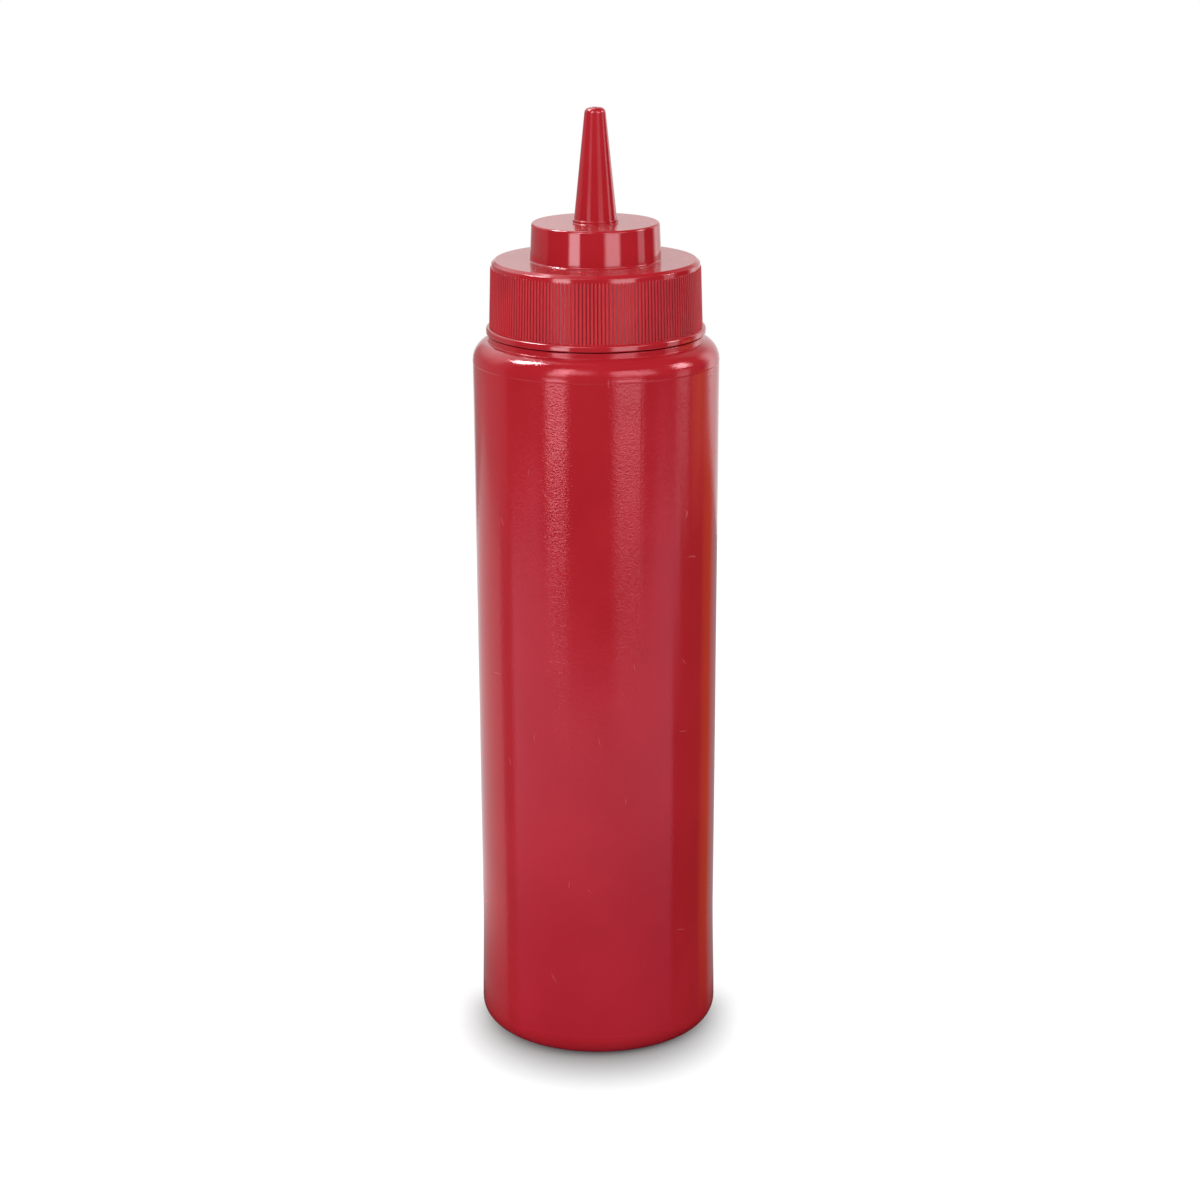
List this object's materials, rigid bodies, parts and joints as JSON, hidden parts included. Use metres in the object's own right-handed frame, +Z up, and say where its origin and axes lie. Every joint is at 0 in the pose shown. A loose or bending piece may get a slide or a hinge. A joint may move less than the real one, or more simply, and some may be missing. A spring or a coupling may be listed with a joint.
{
  "type": "squeeze bottle",
  "caption": "Tall cylindrical squeeze bottle for sauce, with a ribbed wide-mouth screw cap that carries a stepped turret and a long cone nozzle.",
  "frame": {"origin": "centre of the base, on the plane that the bottle stands on", "axes": "+Z up along the axis of the bottle, towards the tip of the nozzle; X and Y lie in the plane of the base and are equivalent"},
  "size_m": [0.076, 0.076, 0.2945],
  "materials": {
    "bottle_plastic": "opaque red polyethylene, satin gloss with a fine leathery grain",
    "cap_plastic": "opaque red polyethylene, glossy, injection moulded"
  },
  "bodies": {
    "root": {"bottle": "bottle_plastic", "cap": "cap_plastic"}
  },
  "joints": []
}
